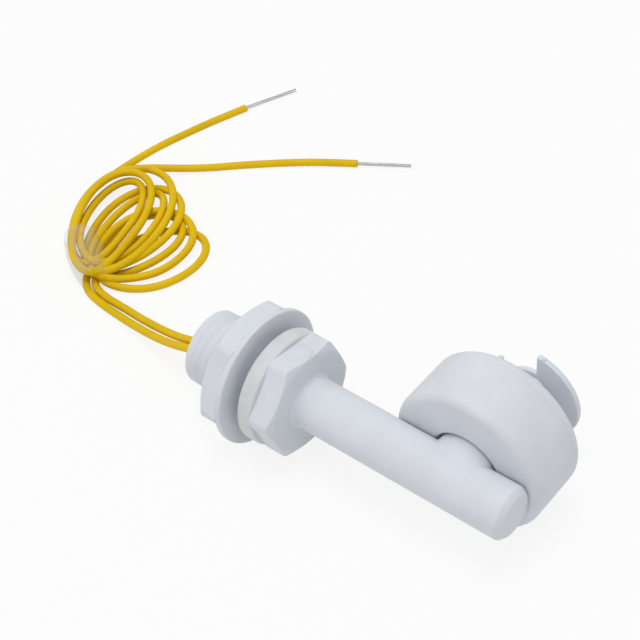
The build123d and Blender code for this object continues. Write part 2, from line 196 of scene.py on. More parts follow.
class SwitchSettings(PropertyGroup):
    thread_pitch: FloatProperty(name="Thread pitch", description="Distance between two ridges of the thread",
                                default=2.0 * MM, min=0.5 * MM, max=4.0 * MM, unit="LENGTH")
    thread_depth: FloatProperty(name="Thread depth", description="Height of the ridges over their root",
                                default=0.1 * MM, min=0.05 * MM, max=1.0 * MM, unit="LENGTH")
    wire_diameter: FloatProperty(name="Lead diameter", description="Outer diameter of the insulated leads",
                                 default=1.8 * MM, min=0.8 * MM, max=4.0 * MM, unit="LENGTH")
    strand_count: IntProperty(name="Strands", description="Strands twisted round the middle one in a bare end",
                              default=7, min=3, max=19)
    strand_diameter: FloatProperty(name="Bare end diameter", description="Diameter over the twisted strands",
                                   default=0.84 * MM, min=0.3 * MM, max=2.0 * MM, unit="LENGTH")
    plastic_colour: FloatVectorProperty(name="Plastic", description="Colour of the moulded polypropylene",
                                        default=(0.73, 0.762, 0.812), min=0.0, max=1.0, subtype="COLOR")
    silicone_colour: FloatVectorProperty(name="Gasket", description="Colour of the silicone gasket",
                                         default=(0.70, 0.71, 0.72), min=0.0, max=1.0, subtype="COLOR")
    wire_colour: FloatVectorProperty(name="Insulation", description="Colour of the leads' insulation",
                                     default=(0.79, 0.525, 0.004), min=0.0, max=1.0, subtype="COLOR")
    floor_colour: FloatVectorProperty(name="Floor", description="Colour of the floor of the stage",
                                      default=(0.92, 0.92, 0.92), min=0.0, max=1.0, subtype="COLOR")


def settings():
    return bpy.context.scene.float_switch


# Meshes

def new_object(name, mesh):
    obj = bpy.data.objects.new(name, mesh)
    bpy.context.scene.collection.objects.link(obj)
    return obj


def mesh_object(name, points, faces, crease=40.0):
    """A closed mesh from points in millimetres, with its faces pointing outwards."""
    mesh = bpy.data.meshes.new(name)
    mesh.from_pydata([Vector(p) * MM for p in points], [], faces)
    work = bmesh.new()
    work.from_mesh(mesh)
    bmesh.ops.remove_doubles(work, verts=work.verts, dist=0.0005 * MM)
    bmesh.ops.dissolve_degenerate(work, dist=0.0005 * MM, edges=work.edges)
    bmesh.ops.recalc_face_normals(work, faces=work.faces)
    work.to_mesh(mesh)
    work.free()
    mesh.shade_smooth()
    mesh.set_sharp_from_angle(angle=radians(crease))
    return new_object(name, mesh)


def join_meshes(name, parts):
    """One object from several, which are then gone."""
    work = bmesh.new()
    for part in parts:
        work.from_mesh(part.data)
        bpy.data.objects.remove(part)
    mesh = bpy.data.meshes.new(name)
    work.to_mesh(mesh)
    work.free()
    return new_object(name, mesh)


def stack_rings(rings, closed_stack=False):
    """Points and faces of a surface through rings that have the same number of points."""
    count = len(rings[0])
    points = [p for ring in rings for p in ring]
    faces = []
    steps = len(rings) if closed_stack else len(rings) - 1
    for i in range(steps):
        a, b = i * count, (i + 1) % len(rings) * count
        for k in range(count):
            n = (k + 1) % count
            faces.append((a + k, a + n, b + n, b + k))
    return points, faces


def round_corners(points, radius, steps=5):
    """Closed half-section (along, out) with each corner turned into an arc no larger than its sides allow."""
    rounded = []
    count = len(points)
    for i in range(count):
        before, corner, after = (Vector(points[j % count]) for j in (i - 1, i, i + 1))
        to_before, to_after = before - corner, after - corner
        reach = min(radius, to_before.length * 0.45, to_after.length * 0.45)
        if corner.y < 1e-6 or reach < 1e-6:
            rounded.append(corner)
            continue
        start, end = corner + to_before.normalized() * reach, corner + to_after.normalized() * reach
        for k in range(steps + 1):
            t = k / steps
            rounded.append(start * (1 - t) ** 2 + corner * 2 * t * (1 - t) + end * t ** 2)
    return rounded


def turned(name, section, axis="X", centre=(0.0, 0.0), segments=96):
    """A closed half-section turned about an axis along X or Y through centre, given as y, z or x, z."""
    rings = []
    for along, out in section:
        ring = []
        for k in range(segments):
            angle = 2 * pi * k / segments
            p, q = centre[0] + out * cos(angle), centre[1] + out * sin(angle)
            ring.append((along, p, q) if axis == "X" else (p, along, q))
        rings.append(ring)
    points, faces = stack_rings(rings, closed_stack=True)
    return mesh_object(name, points, faces)


def hexagon_radius(half_flat, angle, turn, corner_round=1.8):
    """Distance from a hexagon's centre to its side at an angle, with slightly rounded corners."""
    local = (angle - radians(turn)) % (pi / 3) - pi / 6
    flat = half_flat / cos(local)
    corner = half_flat / cos(pi / 6) - corner_round * 0.155
    return soft_least(flat, corner, 0.3)


def soft_least(a, b, width):
    """The lesser of two lengths, with a soft change from one to the other."""
    mix = max(0.0, 1.0 - abs(a - b) / width)
    return min(a, b) - mix * mix * width / 4


def steps_between(start, end, count):
    return [start + (end - start) * k / count for k in range(count + 1)]


# Materials

def new_material(name):
    material = bpy.data.materials.new(name)
    material.use_nodes = True
    return material, material.node_tree.nodes, material.node_tree.links, material.node_tree.nodes["Principled BSDF"]


def add_noise(nodes, links, scale, detail=3.0, stretch=(1.0, 1.0, 1.0)):
    """A noise texture on Object coordinates, as large as 1 m divided by scale."""
    where = nodes.new("ShaderNodeTexCoord")
    mapping = nodes.new("ShaderNodeMapping")
    mapping.inputs["Scale"].default_value = stretch
    noise = nodes.new("ShaderNodeTexNoise")
    noise.inputs["Scale"].default_value = scale
    noise.inputs["Detail"].default_value = detail
    links.new(where.outputs["Object"], mapping.inputs["Vector"])
    links.new(mapping.outputs["Vector"], noise.inputs["Vector"])
    return noise


def vary_colour(nodes, links, shader, colour, noise, spread):
    """Base colour that wanders a little round its mean with a noise."""
    ramp = nodes.new("ShaderNodeValToRGB")
    ramp.color_ramp.elements[0].position = 0.3
    ramp.color_ramp.elements[1].position = 0.7
    ramp.color_ramp.elements[0].color = (*(c * (1 - spread) for c in colour), 1)
    ramp.color_ramp.elements[1].color = (*(min(1.0, c * (1 + spread)) for c in colour), 1)
    links.new(noise.outputs["Fac"], ramp.inputs["Fac"])
    links.new(ramp.outputs["Color"], shader.inputs["Base Color"])
    return ramp


def add_bump(nodes, links, shader, height, strength, distance):
    """Bump from a height output, in metres."""
    bump = nodes.new("ShaderNodeBump")
    bump.inputs["Strength"].default_value = strength
    bump.inputs["Distance"].default_value = distance
    links.new(height, bump.inputs["Height"])
    links.new(bump.outputs["Normal"], shader.inputs["Normal"])
    return bump


def vary_roughness(nodes, links, shader, noise, low, high):
    spread = nodes.new("ShaderNodeMapRange")
    spread.inputs["To Min"].default_value = low
    spread.inputs["To Max"].default_value = high
    links.new(noise.outputs["Fac"], spread.inputs["Value"])
    links.new(spread.outputs["Result"], shader.inputs["Roughness"])


def moulded_plastic():
    """White polypropylene, faintly waxy, with the fine unevenness of a moulded skin."""
    material, nodes, links, shader = new_material("white_polypropylene_skin")
    broad = add_noise(nodes, links, 160.0)
    fine = add_noise(nodes, links, 2600.0, 4.0)
    vary_colour(nodes, links, shader, settings().plastic_colour, broad, 0.025)
    vary_roughness(nodes, links, shader, broad, 0.52, 0.62)
    shader.inputs["Specular IOR Level"].default_value = 0.22
    add_bump(nodes, links, shader, fine.outputs["Fac"], 0.25, 0.00004)
    shader.inputs["Subsurface Weight"].default_value = 0.1
    shader.inputs["Subsurface Radius"].default_value = (1.0, 1.0, 1.0)
    shader.inputs["Subsurface Scale"].default_value = 0.0006
    return material


def silicone():
    """Slightly milky grey silicone rubber."""
    material, nodes, links, shader = new_material("grey_silicone_rubber")
    cloud = add_noise(nodes, links, 320.0)
    fine = add_noise(nodes, links, 3000.0, 3.0)
    vary_colour(nodes, links, shader, settings().silicone_colour, cloud, 0.05)
    vary_roughness(nodes, links, shader, cloud, 0.38, 0.5)
    add_bump(nodes, links, shader, fine.outputs["Fac"], 0.2, 0.00004)
    shader.inputs["Subsurface Weight"].default_value = 0.25
    shader.inputs["Subsurface Radius"].default_value = (1.0, 1.0, 1.0)
    shader.inputs["Subsurface Scale"].default_value = 0.0006
    return material


def wire_insulation():
    """Yellow PVC that is a little deeper in places, with a soft gloss."""
    material, nodes, links, shader = new_material("yellow_pvc_insulation")
    broad = add_noise(nodes, links, 90.0)
    fine = add_noise(nodes, links, 2400.0, 3.0)
    vary_colour(nodes, links, shader, settings().wire_colour, broad, 0.07)
    vary_roughness(nodes, links, shader, broad, 0.42, 0.55)
    shader.inputs["Specular IOR Level"].default_value = 0.13
    add_bump(nodes, links, shader, fine.outputs["Fac"], 0.2, 0.00003)
    shader.inputs["Subsurface Weight"].default_value = 0.08
    shader.inputs["Subsurface Scale"].default_value = 0.0008
    return material


def bare_metal(name, colour, low, high):
    """Metal with fine marks."""
    material, nodes, links, shader = new_material(name)
    marks = add_noise(nodes, links, 4000.0, 3.0, (1.0, 0.2, 1.0))
    vary_colour(nodes, links, shader, colour, marks, 0.08)
    vary_roughness(nodes, links, shader, marks, low, high)
    shader.inputs["Metallic"].default_value = 1.0
    return material


def dark_filler(name, colour, low, high):
    """Resin, ferrite or sleeve, dark and slightly uneven."""
    material, nodes, links, shader = new_material(name)
    grain = add_noise(nodes, links, 1500.0, 3.0)
    vary_colour(nodes, links, shader, colour, grain, 0.15)
    vary_roughness(nodes, links, shader, grain, low, high)
    add_bump(nodes, links, shader, grain.outputs["Fac"], 0.3, 0.00005)
    return material


def clear_glass():
    material, nodes, links, shader = new_material("clear_reed_glass")
    tint = add_noise(nodes, links, 500.0)
    vary_colour(nodes, links, shader, (0.86, 0.93, 0.89), tint, 0.03)
    shader.inputs["Roughness"].default_value = 0.05
    shader.inputs["Transmission Weight"].default_value = 1.0
    shader.inputs["IOR"].default_value = 1.5
    return material


def film():
    """Thin clear plastic strip, slightly milky where it is creased."""
    material, nodes, links, shader = new_material("clear_tie_film")
    creases = add_noise(nodes, links, 420.0, 4.0, (1.0, 1.0, 0.4))
    vary_colour(nodes, links, shader, (0.62, 0.62, 0.55), creases, 0.06)
    vary_roughness(nodes, links, shader, creases, 0.12, 0.3)
    see_through = nodes.new("ShaderNodeMapRange")
    see_through.inputs["To Min"].default_value = 0.03
    see_through.inputs["To Max"].default_value = 0.2
    links.new(creases.outputs["Fac"], see_through.inputs["Value"])
    links.new(see_through.outputs["Result"], shader.inputs["Alpha"])
    add_bump(nodes, links, shader, creases.outputs["Fac"], 0.5, 0.0002)
    return material


def material_for(key):
    """The one material of each finish, made when it is first asked for."""
    made = bpy.data.materials.get(FINISHES[key][0])
    return made or FINISHES[key][1]()


FINISHES = {
    "white_polypropylene": ("white_polypropylene_skin", moulded_plastic),
    "grey_silicone": ("grey_silicone_rubber", silicone),
    "yellow_pvc": ("yellow_pvc_insulation", wire_insulation),
    "tinned_copper": ("tinned_strands", lambda: bare_metal("tinned_strands", (0.62, 0.61, 0.58), 0.25, 0.4)),
    "plated_contact_wire": ("plated_wire", lambda: bare_metal("plated_wire", (0.66, 0.64, 0.6), 0.2, 0.35)),
    "tinned_crimp": ("crimp_metal", lambda: bare_metal("crimp_metal", (0.6, 0.6, 0.58), 0.3, 0.45)),
    "dark_ferrite": ("ferrite", lambda: dark_filler("ferrite", (0.04, 0.04, 0.045), 0.55, 0.7)),
    "soft_sleeve": ("sleeve_rubber", lambda: dark_filler("sleeve_rubber", (0.02, 0.02, 0.02), 0.6, 0.75)),
    "black_resin": ("potting_resin_black", lambda: dark_filler("potting_resin_black", (0.015, 0.015, 0.016), 0.2, 0.35)),
    "clear_glass": ("clear_reed_glass", clear_glass),
    "clear_film": ("clear_tie_film", film),
}


def settle(obj, key, body, *nodes):
    """Gives a piece its finish, its body and the solids it stands for."""
    obj.data.materials.clear()
    obj.data.materials.append(material_for(key))
    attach(obj, body)
    if nodes:
        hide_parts(*nodes)
    return obj


# Geometry Nodes

def new_tree(name, inputs):
    """A node tree for a modifier, with named inputs of a kind and a default each."""
    tree = bpy.data.node_groups.new(name, "GeometryNodeTree")
    tree.interface.new_socket("Geometry", in_out="INPUT", socket_type="NodeSocketGeometry")
    for label, kind, default in inputs:
        socket = tree.interface.new_socket(label, in_out="INPUT", socket_type=kind)
        if default is not None:
            socket.default_value = default
    tree.interface.new_socket("Geometry", in_out="OUTPUT", socket_type="NodeSocketGeometry")
    return tree, tree.nodes.new("NodeGroupInput"), tree.nodes.new("NodeGroupOutput")


def run_tree(name, tree, values):
    """The plain mesh that a tree makes on an empty object with these input values."""
    carrier = new_object(name + "_maker", bpy.data.meshes.new(name + "_maker"))
    modifier = carrier.modifiers.new("make", "NODES")
    modifier.node_group = tree
    for item in tree.interface.items_tree:
        if item.in_out == "INPUT" and item.name in values:
            modifier[item.identifier] = values[item.name]
    graph = bpy.context.evaluated_depsgraph_get()
    mesh = bpy.data.meshes.new_from_object(carrier.evaluated_get(graph))
    bpy.data.objects.remove(carrier)
    mesh.name = name
    return mesh


def thread_tree():
    """Ridge of a thread: a rounded triangle that follows a spiral along Z."""
    tree, start, end = new_tree("thread_ridges", [
        ("Root Radius", "NodeSocketFloat", 0.007), ("Pitch", "NodeSocketFloat", 0.002),
        ("Depth", "NodeSocketFloat", 0.001), ("Length", "NodeSocketFloat", 0.02),
        ("Material", "NodeSocketMaterial", None)])
    nodes, links = tree.nodes, tree.links
    turns = nodes.new("ShaderNodeMath")
    turns.operation = "DIVIDE"
    links.new(start.outputs["Length"], turns.inputs[0])
    links.new(start.outputs["Pitch"], turns.inputs[1])
    spiral = nodes.new("GeometryNodeCurveSpiral")
    spiral.inputs["Resolution"].default_value = 72
    links.new(turns.outputs["Value"], spiral.inputs["Rotations"])
    links.new(start.outputs["Root Radius"], spiral.inputs["Start Radius"])
    links.new(start.outputs["Root Radius"], spiral.inputs["End Radius"])
    links.new(start.outputs["Length"], spiral.inputs["Height"])
    profile = nodes.new("GeometryNodeCurvePrimitiveCircle")
    profile.inputs["Resolution"].default_value = 36
    links.new(start.outputs["Depth"], profile.inputs["Radius"])
    flatten = nodes.new("GeometryNodeTransform")
    flatten.inputs["Scale"].default_value = (1.0, 3.4, 1.0)
    links.new(profile.outputs["Curve"], flatten.inputs["Geometry"])
    sweep = nodes.new("GeometryNodeCurveToMesh")
    sweep.inputs["Fill Caps"].default_value = True
    upright = nodes.new("GeometryNodeSetCurveNormal")
    upright.mode = "Z_UP"
    links.new(spiral.outputs["Curve"], upright.inputs["Curve"])
    links.new(upright.outputs["Curve"], sweep.inputs["Curve"])
    links.new(flatten.outputs["Geometry"], sweep.inputs["Profile Curve"])
    finish_tree(tree, sweep.outputs["Mesh"], start, end)
    return tree


def finish_tree(tree, geometry, start, end):
    """The last nodes of a tree: smooth shading, real instances and the material."""
    nodes, links = tree.nodes, tree.links
    smooth = nodes.new("GeometryNodeSetShadeSmooth")
    realize = nodes.new("GeometryNodeRealizeInstances")
    paint = nodes.new("GeometryNodeSetMaterial")
    links.new(geometry, smooth.inputs["Geometry"])
    links.new(smooth.outputs["Geometry"], realize.inputs["Geometry"])
    links.new(realize.outputs["Geometry"], paint.inputs["Geometry"])
    links.new(start.outputs["Material"], paint.inputs["Material"])
    links.new(paint.outputs["Geometry"], end.inputs["Geometry"])


def strand_tree():
    """Bare end of a lead: strands twisted round a straight one, along Z."""
    tree, start, end = new_tree("twisted_strands", [
        ("Length", "NodeSocketFloat", 0.013), ("Radius", "NodeSocketFloat", 0.00042),
        ("Strand Radius", "NodeSocketFloat", 0.00012), ("Turns", "NodeSocketFloat", 3.0),
        ("Count", "NodeSocketInt", 7), ("Material", "NodeSocketMaterial", None)])
    nodes, links = tree.nodes, tree.links
    reach = nodes.new("ShaderNodeMath")
    reach.operation = "SUBTRACT"
    links.new(start.outputs["Radius"], reach.inputs[0])
    links.new(start.outputs["Strand Radius"], reach.inputs[1])
    spiral = nodes.new("GeometryNodeCurveSpiral")
    spiral.inputs["Resolution"].default_value = 16
    links.new(start.outputs["Turns"], spiral.inputs["Rotations"])
    links.new(reach.outputs["Value"], spiral.inputs["Start Radius"])
    links.new(reach.outputs["Value"], spiral.inputs["End Radius"])
    links.new(start.outputs["Length"], spiral.inputs["Height"])
    profile = nodes.new("GeometryNodeCurvePrimitiveCircle")
    profile.inputs["Resolution"].default_value = 8
    links.new(start.outputs["Strand Radius"], profile.inputs["Radius"])
    sweep = nodes.new("GeometryNodeCurveToMesh")
    sweep.inputs["Fill Caps"].default_value = True
    links.new(spiral.outputs["Curve"], sweep.inputs["Curve"])
    links.new(profile.outputs["Curve"], sweep.inputs["Profile Curve"])
    places = nodes.new("GeometryNodePoints")
    links.new(start.outputs["Count"], places.inputs["Count"])
    index = nodes.new("GeometryNodeInputIndex")
    share = nodes.new("ShaderNodeMath")
    share.operation = "DIVIDE"
    links.new(index.outputs["Index"], share.inputs[0])
    links.new(start.outputs["Count"], share.inputs[1])
    angle = nodes.new("ShaderNodeMath")
    angle.operation = "MULTIPLY"
    angle.inputs[1].default_value = 2 * pi
    links.new(share.outputs["Value"], angle.inputs[0])
    turn = nodes.new("ShaderNodeCombineXYZ")
    links.new(angle.outputs["Value"], turn.inputs["Z"])
    copies = nodes.new("GeometryNodeInstanceOnPoints")
    links.new(places.outputs["Points"], copies.inputs["Points"])
    links.new(sweep.outputs["Mesh"], copies.inputs["Instance"])
    links.new(turn.outputs["Vector"], copies.inputs["Rotation"])
    core = nodes.new("GeometryNodeMeshCylinder")
    core.inputs["Vertices"].default_value = 12
    links.new(reach.outputs["Value"], core.inputs["Radius"])
    links.new(start.outputs["Length"], core.inputs["Depth"])
    half = nodes.new("ShaderNodeMath")
    half.operation = "MULTIPLY"
    half.inputs[1].default_value = 0.5
    links.new(start.outputs["Length"], half.inputs[0])
    lift = nodes.new("ShaderNodeCombineXYZ")
    links.new(half.outputs["Value"], lift.inputs["Z"])
    raised = nodes.new("GeometryNodeTransform")
    links.new(core.outputs["Mesh"], raised.inputs["Geometry"])
    links.new(lift.outputs["Vector"], raised.inputs["Translation"])
    both = nodes.new("GeometryNodeJoinGeometry")
    links.new(copies.outputs["Instances"], both.inputs["Geometry"])
    links.new(raised.outputs["Geometry"], both.inputs["Geometry"])
    finish_tree(tree, both.outputs["Geometry"], start, end)
    return tree


# Body

def thread_stub():
    """Core of the thread with the cup for the resin at its open end."""
    root = THREAD_R - settings().thread_depth / MM
    rim = BODY_LOW.x + RIM_CHAMFER
    section = [(BODY_LOW.x, CUP_R), (BODY_LOW.x, root - RIM_CHAMFER + 0.1), (rim, root), (0.2, root), (0.2, CUP_R)]
    core = turned("thread_core", round_corners(section, 0.5))
    ridge_depth = settings().thread_depth / MM
    length = -BODY_LOW.x - RIDGE_START
    mesh = run_tree("thread_ridge", thread_tree(), {
        "Root Radius": (root - RIDGE_SUNK) * MM, "Pitch": settings().thread_pitch, "Depth": (ridge_depth + RIDGE_SUNK) * MM,
        "Length": length * MM, "Material": material_for("white_polypropylene")})
    place = Matrix.Translation(((BODY_LOW.x + RIDGE_START) * MM, 0, 0))
    mesh.transform(place @ Matrix.Rotation(radians(90), 4, "Y"))
    ridge = new_object("thread_ridge", mesh)
    return join_meshes("body_thread", [core, ridge])


def polar_solid(name, stations, radius_at, inner_r, segments=360):
    """A ring along X whose outside follows radius_at(station, angle) and whose bore is round."""
    angles = [2 * pi * k / segments for k in range(segments)]
    rings = [[(stations[0], inner_r * cos(a), inner_r * sin(a)) for a in angles]]
    for x in stations:
        rings.append([(x, radius_at(x, a) * cos(a), radius_at(x, a) * sin(a)) for a in angles])
    rings.append([(stations[-1], inner_r * cos(a), inner_r * sin(a)) for a in angles])
    points, faces = stack_rings(rings, closed_stack=True)
    return mesh_object(name, points, faces)


def body_hexagon():
    """Hexagon behind which the gasket seals, bevelled towards the stem."""
    bevel_start = HEX_THICK - 0.9
    corner = HEX_HALF / cos(pi / 6)

    def radius_at(x, angle):
        side = hexagon_radius(HEX_HALF, angle, HEX_TURN)
        cone = corner - (x - bevel_start) / 0.9 * (corner - HEX_HALF + 0.25)
        rim = HEX_HALF + 2.2 + sqrt(max(0.0, x)) * 4
        front = corner + 9 if x < HEX_THICK - 0.02 else HEX_HALF - 0.55
        return soft_least(soft_least(side, cone, 0.25), min(rim, front), 0.2)

    stations = [0.0, 0.04, 0.12, 0.3, 0.8, 2.0, 3.2, 3.8] + steps_between(3.95, HEX_THICK - 0.03, 12) + [HEX_THICK]
    return polar_solid("body_hexagon", stations, radius_at, STEM_R - 1.0)


def hub_radius(y):
    """Radius of the hub, which grows out of the stem and has its full size before the float."""
    t = min(1.0, max(0.0, y / HUB_FULL_Y))
    return HUB_ROOT_R + (HUB_R - HUB_ROOT_R) * t * t * (3 - 2 * t)


def hub_reach(x, angle):
    """Distance from the stem's axis to the hub's surface, nought where the hub isn't met."""
    if cos(angle) <= 0 or abs(x - PIVOT_X) > HUB_R:
        return 0.0
    reach = HUB_R
    for _ in range(8):
        half_chord = sqrt(max(0.0, hub_radius(reach * cos(angle)) ** 2 - (x - PIVOT_X) ** 2))
        reach = min(half_chord / max(abs(sin(angle)), 0.001), HUB_MERGED_Y / cos(angle))
    return reach - 0.02


def body_stem():
    """Long stem with its chamfered end, the flat on the float's side and the root of the hub."""
    end = BODY_HIGH.x

    def radius_at(x, angle):
        radius = STEM_R
        if x < HEX_THICK + ROOT_FILLET:
            t = max(0.0, (HEX_THICK + ROOT_FILLET - x) / ROOT_FILLET)
            radius += ROOT_FILLET * t * t
        from_end = end - x
        if from_end < STEM_CHAMFER + 0.4:
            radius = soft_least(STEM_R, STEM_R - STEM_CHAMFER + from_end, 0.25)
        if from_end < 0.3:
            radius -= 0.3 - sqrt(max(0.0, 0.09 - (0.3 - from_end) ** 2))
        if x > FLAT_START_X and cos(angle) > 0.05:
            radius = soft_least(radius, FLAT_Y / cos(angle), 0.25)
        beside = min(1.0, max(0.0, cos(angle) / HUB_BESIDE))
        return -soft_least(-radius, -hub_reach(x, angle), HUB_BLEND * beside * beside * (3 - 2 * beside) + 0.01)

    stations = [HEX_THICK - 0.1] + steps_between(HEX_THICK, HEX_THICK + ROOT_FILLET, 6) + [9.0, 15.0, FLAT_START_X]
    stations += [FLAT_START_X + 0.05, 28.0] + steps_between(PIVOT_X - 8.5, PIVOT_X + 8.5, 68)
    stations += [48.0] + steps_between(end - 1.6, end - 0.3, 8)
    stations += steps_between(end - 0.26, end, 5)
    return polar_solid("body_stem", stations, radius_at, 0.0, 288)


def hub_and_journal():
    """Hub at the side of the stem and the thinner journal that the float turns on."""
    root = [(y, hub_radius(y)) for y in steps_between(HUB_FROM_Y, HUB_FULL_Y, 8)]
    rim = [(HUB_END_Y - 0.4, HUB_R), (HUB_END_Y - 0.12, HUB_R - 0.12), (HUB_END_Y, HUB_R - 0.4)]
    shaft = [(HUB_END_Y, JOURNAL_R), (JOURNAL_END_Y - 0.3, JOURNAL_R), (JOURNAL_END_Y, JOURNAL_R - 0.3), (JOURNAL_END_Y, 0)]
    section = [(HUB_FROM_Y, 0.0)] + root + rim + shaft
    return turned("body_hub", section, "Y", (PIVOT_X, 0.0))


def soft_box(name, low, high, bevel):
    """A box with rounded edges, from its lowest and highest corners in millimetres."""
    work = bmesh.new()
    bmesh.ops.create_cube(work, size=1.0)
    middle, size = (Vector(low) + Vector(high)) / 2, Vector(high) - Vector(low)
    for vert in work.verts:
        vert.co = (Vector(v * s for v, s in zip(vert.co, size)) + middle) * MM
    bmesh.ops.bevel(work, geom=work.edges, offset=bevel * MM, segments=3, profile=0.5, affect="EDGES")
    mesh = bpy.data.meshes.new(name)
    work.to_mesh(mesh)
    work.free()
    mesh.shade_smooth()
    return new_object(name, mesh)


def mould_mark():
    """Low round pad in the middle of the hexagon's upper side."""
    top = HEX_HALF + MARK_RISE
    section = [(HEX_HALF - 0.6, 0.0), (HEX_HALF - 0.6, MARK_R), (top - 0.1, MARK_R), (top, MARK_R - 0.15), (top, 0.0)]
    pad = turned("mould_mark", section, segments=48)
    side = radians(HEX_TURN + 90)
    pad.data.transform(Matrix.Translation((HEX_THICK / 2 * MM, 0, 0)) @ Matrix.Rotation(side - pi / 2, 4, "X")
                       @ Matrix.Rotation(-pi / 2, 4, "Y"))
    return pad


class FLOATSWITCH_OT_body(Operator):
    """Body: thread, hexagon, stem, hub and stop, with the resin in its open end"""
    bl_idname = "floatswitch.body"
    bl_label = "Body"

    def execute(self, context):
        stop = soft_box("body_stop", (PIVOT_X - STOP_HALF, FLAT_Y - 0.2, STOP_LOW_Z),
                        (PIVOT_X + STOP_HALF, STOP_END_Y, -HUB_R + 2.0), 0.5)
        for piece in (thread_stub(), body_hexagon(), mould_mark(), body_stem(), hub_and_journal(), stop):
            settle(piece, "white_polypropylene", "switch_body", "stem_body")
        return {"FINISHED"}


# Nut and gasket

def nut_grip():
    """Hexagon of the nut, chamfered at its rear corners."""
    back, front = NUT_LOW.x, NUT_HIGH.x - FLANGE_THICK + 0.2
    corner = NUT_HALF / cos(pi / 6)

    def radius_at(x, angle):
        side = hexagon_radius(NUT_HALF, angle, 0.0)
        cone = NUT_HALF - 0.1 + (x - back) / 1.5 * (corner - NUT_HALF + 0.1)
        edge = NUT_HALF - 0.6 + sqrt(max(0.0, x - back)) * 5
        return soft_least(soft_least(side, cone, 0.25), edge, 0.2)

    stations = [back, back + 0.03, back + 0.08] + steps_between(back + 0.15, back + 1.9, 14) + [back + 3.0, front]
    return polar_solid("nut_grip", stations, radius_at, NUT_BORE_R)


def nut_flange():
    """Round flange that presses on the gasket."""
    back, front, out = NUT_HIGH.x - FLANGE_THICK, NUT_HIGH.x, NUT_HIGH.z
    section = [(back, NUT_BORE_R), (back, out), (front, out), (front, NUT_BORE_R)]
    return turned("nut_flange", round_corners(section, 0.42), segments=160)


class FLOATSWITCH_OT_nut(Operator):
    """Flanged lock nut"""
    bl_idname = "floatswitch.nut"
    bl_label = "Lock nut"

    def execute(self, context):
        nut = join_meshes("flanged_nut", [nut_grip(), nut_flange()])
        settle(nut, "white_polypropylene", "nut", "lock_nut")
        return {"FINISHED"}


class FLOATSWITCH_OT_gasket(Operator):
    """Silicone gasket"""
    bl_idname = "floatswitch.gasket"
    bl_label = "Gasket"

    def execute(self, context):
        inner = THREAD_R + 0.05
        section = [(GASKET_LOW.x, inner), (GASKET_LOW.x, GASKET_HIGH.z), (GASKET_HIGH.x, GASKET_HIGH.z), (GASKET_HIGH.x, inner)]
        ring = turned("silicone_ring", round_corners(section, 0.55), segments=160)
        settle(ring, "grey_silicone", "gasket", "sealing_gasket")
        return {"FINISHED"}


# Float

def c_ring(outer_inset, outer_y, inner_inset, inner_y):
    """Outline of the C drawn in on both sides, with a depth of its own for each side."""
    outer, inner = FLOAT_MID_R + FLOAT_HALF - outer_inset, FLOAT_MID_R - FLOAT_HALF + inner_inset
    middle, half = (outer + inner) / 2, (outer - inner) / 2
    low, high = radians(FLOAT_LOW_DEG), radians(FLOAT_HIGH_DEG)
    ring = []
    for t in steps_between(low, high, 84):
        ring.append((outer * cos(t), outer_y, outer * sin(t)))
    for k in range(1, 20):
        t = pi * k / 20
        out, along = cos(t) * half, sin(t) * half
        r = middle + out
        depth = outer_y + (inner_y - outer_y) * (1 - cos(t)) / 2
        ring.append((r * cos(high) - along * sin(high), depth, r * sin(high) + along * cos(high)))
    for t in steps_between(high, low, 84):
        ring.append((inner * cos(t), inner_y, inner * sin(t)))
    for k in range(1, 20):
        t = pi * k / 20
        out, along = -cos(t) * half, sin(t) * half
        r = middle + out
        depth = inner_y + (outer_y - inner_y) * (1 - cos(t)) / 2
        ring.append((r * cos(low) + along * sin(low), depth, r * sin(low) - along * cos(low)))
    return [(PIVOT_X + x, y, z) for x, y, z in ring]


def c_solid(name, rows):
    """A C-shaped piece through rows of (outer inset, its y, inner inset, its y)."""
    points, faces = stack_rings([c_ring(*row) for row in rows])
    return mesh_object(name, points, faces)


def float_front():
    """Shell of the float: flat front, large outer round and a crisp mouth."""
    front, back = SHELL_LOW.y, SHELL_HIGH.y
    rows = []
    for t in (1.0, 0.75, 0.5, 0.25):
        inset = FLOAT_ROUND + (FLOAT_HALF - FLOAT_ROUND) * t
        mouth = MOUTH_ROUND + (FLOAT_HALF - MOUTH_ROUND) * t
        rows.append((inset, front, mouth, front))
    for t in steps_between(0, pi / 2, 9):
        rows.append((FLOAT_ROUND * (1 - sin(t)), front + FLOAT_ROUND * (1 - cos(t)),
                     MOUTH_ROUND * (1 - sin(t)), front + MOUTH_ROUND * (1 - cos(t))))
    rows += [(0, back - 0.3, 0, back - 0.3), (0, back - 0.04, 0, back - 0.04), (0.03, back, 0.03, back)]
    rows.append((FLOAT_HALF, back, FLOAT_HALF, back))
    return c_solid("float_front", rows)


